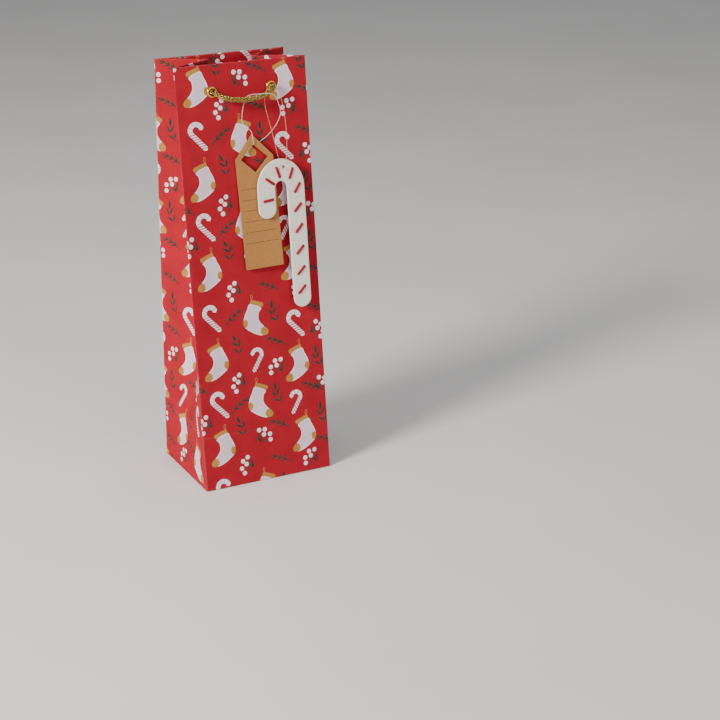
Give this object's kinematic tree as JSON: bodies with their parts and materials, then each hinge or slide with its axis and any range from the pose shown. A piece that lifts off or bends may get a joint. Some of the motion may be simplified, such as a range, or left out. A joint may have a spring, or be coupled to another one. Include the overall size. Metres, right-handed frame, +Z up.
{
  "type": "wine gift bag",
  "caption": "Tall gusseted paper gift bag for a bottle, with cord handles in eyelets, a kraft tag and a felt cane ornament; folds flat.",
  "frame": {"origin": "centre of the bottom face that the bag stands on", "axes": "+Z up, the decorated front faces -Y, +X to the right seen from the front"},
  "size_m": [0.12, 0.0968, 0.364],
  "materials": {
    "bag_paper": "matt handmade paper, printed",
    "bag_paper_inside": "matt paper",
    "board": "matt card",
    "eyelet_metal": "polished",
    "gold_cord": "braided metallic yarn",
    "kraft": "matt kraft card",
    "white_thread": "fine thread",
    "felt": "pressed felt",
    "red_stitch": "embroidery thread",
    "gold_thread": "fine metallic thread"
  },
  "bodies": {
    "back": {"back_panel": "bag_paper", "side_seam_lap": "bag_paper_inside", "back_card": "board", "back_hem": "bag_paper", "eyelet_back_left": "eyelet_metal", "eyelet_back_right": "eyelet_metal", "back_knot_left": "gold_cord", "back_knot_right": "gold_cord", "pleat_foot_left": "bag_paper", "pleat_foot_right": "bag_paper"},
    "bottom": {"bottom_outer_flap": "bag_paper", "bottom_inner_flap": "bag_paper_inside", "dust_flap_left": "bag_paper_inside", "dust_flap_right": "bag_paper_inside"},
    "front_lower": {"front_lower_panel": "bag_paper"},
    "front_upper": {"front_upper_panel": "bag_paper", "front_card": "board", "front_hem": "bag_paper", "eyelet_front_left": "eyelet_metal", "eyelet_front_right": "eyelet_metal", "front_knot_left": "gold_cord", "front_knot_right": "gold_cord"},
    "pleat_rear_left": {"pleat_rear_left": "bag_paper"},
    "pleat_rear_right": {"pleat_rear_right": "bag_paper"},
    "pleat_front_left": {"pleat_front_left": "bag_paper"},
    "pleat_front_right": {"pleat_front_right": "bag_paper"},
    "front_handle": {"front_handle_cord": "gold_cord"},
    "back_handle": {"back_handle_cord": "gold_cord"},
    "tag": {"gift_tag": "kraft", "tag_thread": "white_thread"},
    "cane": {"cane_ornament": "felt", "cane_stitches": "red_stitch", "cane_thread": "gold_thread"}
  },
  "joints": [
    {"name": "bottom_fold", "type": "hinge", "parent": "back", "child": "bottom", "pos_m": [0, 0.0468, 0.0012], "axis": [-1, 0, 0], "range_deg": [0, 80], "deforming": ["pleat_foot_left", "pleat_foot_right", "pleat_rear_left", "pleat_rear_right", "pleat_front_left", "pleat_front_right"]},
    {"name": "front_lower_fold", "type": "hinge", "parent": "bottom", "child": "front_lower", "pos_m": [0, -0.04745, 0.00124], "axis": [-1, 0, 0], "range_deg": [0, 76.4]},
    {"name": "front_crease", "type": "hinge", "parent": "front_lower", "child": "front_upper", "pos_m": [0, -0.04237, 0.04767], "axis": [-1, 0, 0], "range_deg": [-170.8, 0]},
    {"name": "pleat_rear_left_fold", "type": "hinge", "parent": "back", "child": "pleat_rear_left", "pos_m": [-0.06, 0.0476, -0.00001], "axis": [0, -0.0275, 0.9996], "range_deg": [0, 87.2]},
    {"name": "pleat_rear_right_fold", "type": "hinge", "parent": "back", "child": "pleat_rear_right", "pos_m": [0.06, 0.0476, -0.00001], "axis": [0, 0.0275, -0.9996], "range_deg": [0, 87.2]},
    {"name": "pleat_front_left_fold", "type": "hinge", "parent": "front_upper", "child": "pleat_front_left", "pos_m": [-0.06, -0.04197, 0.04762], "axis": [0, -0.1173, -0.9931], "range_deg": [0, 87.2]},
    {"name": "pleat_front_right_fold", "type": "hinge", "parent": "front_upper", "child": "pleat_front_right", "pos_m": [0.06, -0.04197, 0.04762], "axis": [0, 0.1173, 0.9931], "range_deg": [0, 87.2]},
    {"name": "front_handle_lift", "type": "hinge", "parent": "front_upper", "child": "front_handle", "pos_m": [0, -0.01098, 0.34155], "axis": [-1, 0, 0], "range_deg": [0, 120]},
    {"name": "back_handle_lift", "type": "hinge", "parent": "back", "child": "back_handle", "pos_m": [0, 0.04193, 0.3411], "axis": [1, 0, 0], "range_deg": [0, 120]},
    {"name": "tag_hang", "type": "hinge", "parent": "front_handle", "child": "tag", "pos_m": [0.005, -0.01637, 0.33424], "axis": [-1, 0, 0], "range_deg": [-113.4, 0]},
    {"name": "cane_hang", "type": "hinge", "parent": "front_handle", "child": "cane", "pos_m": [0.021, -0.01468, 0.33765], "axis": [-1, 0, 0], "range_deg": [-108.2, 0]}
  ],
  "couplings": [
    {"joint": "front_lower_fold", "follows": "bottom_fold", "ratio": 0.9525},
    {"joint": "front_crease", "follows": "bottom_fold", "ratio": -2.1325},
    {"joint": "pleat_rear_left_fold", "follows": "bottom_fold", "ratio": 1.0875},
    {"joint": "pleat_rear_right_fold", "follows": "bottom_fold", "ratio": 1.0875},
    {"joint": "pleat_front_left_fold", "follows": "bottom_fold", "ratio": 1.0875},
    {"joint": "pleat_front_right_fold", "follows": "bottom_fold", "ratio": 1.0875},
    {"joint": "tag_hang", "follows": "front_handle_lift", "ratio": -0.943},
    {"joint": "cane_hang", "follows": "front_handle_lift", "ratio": -0.9}
  ]
}
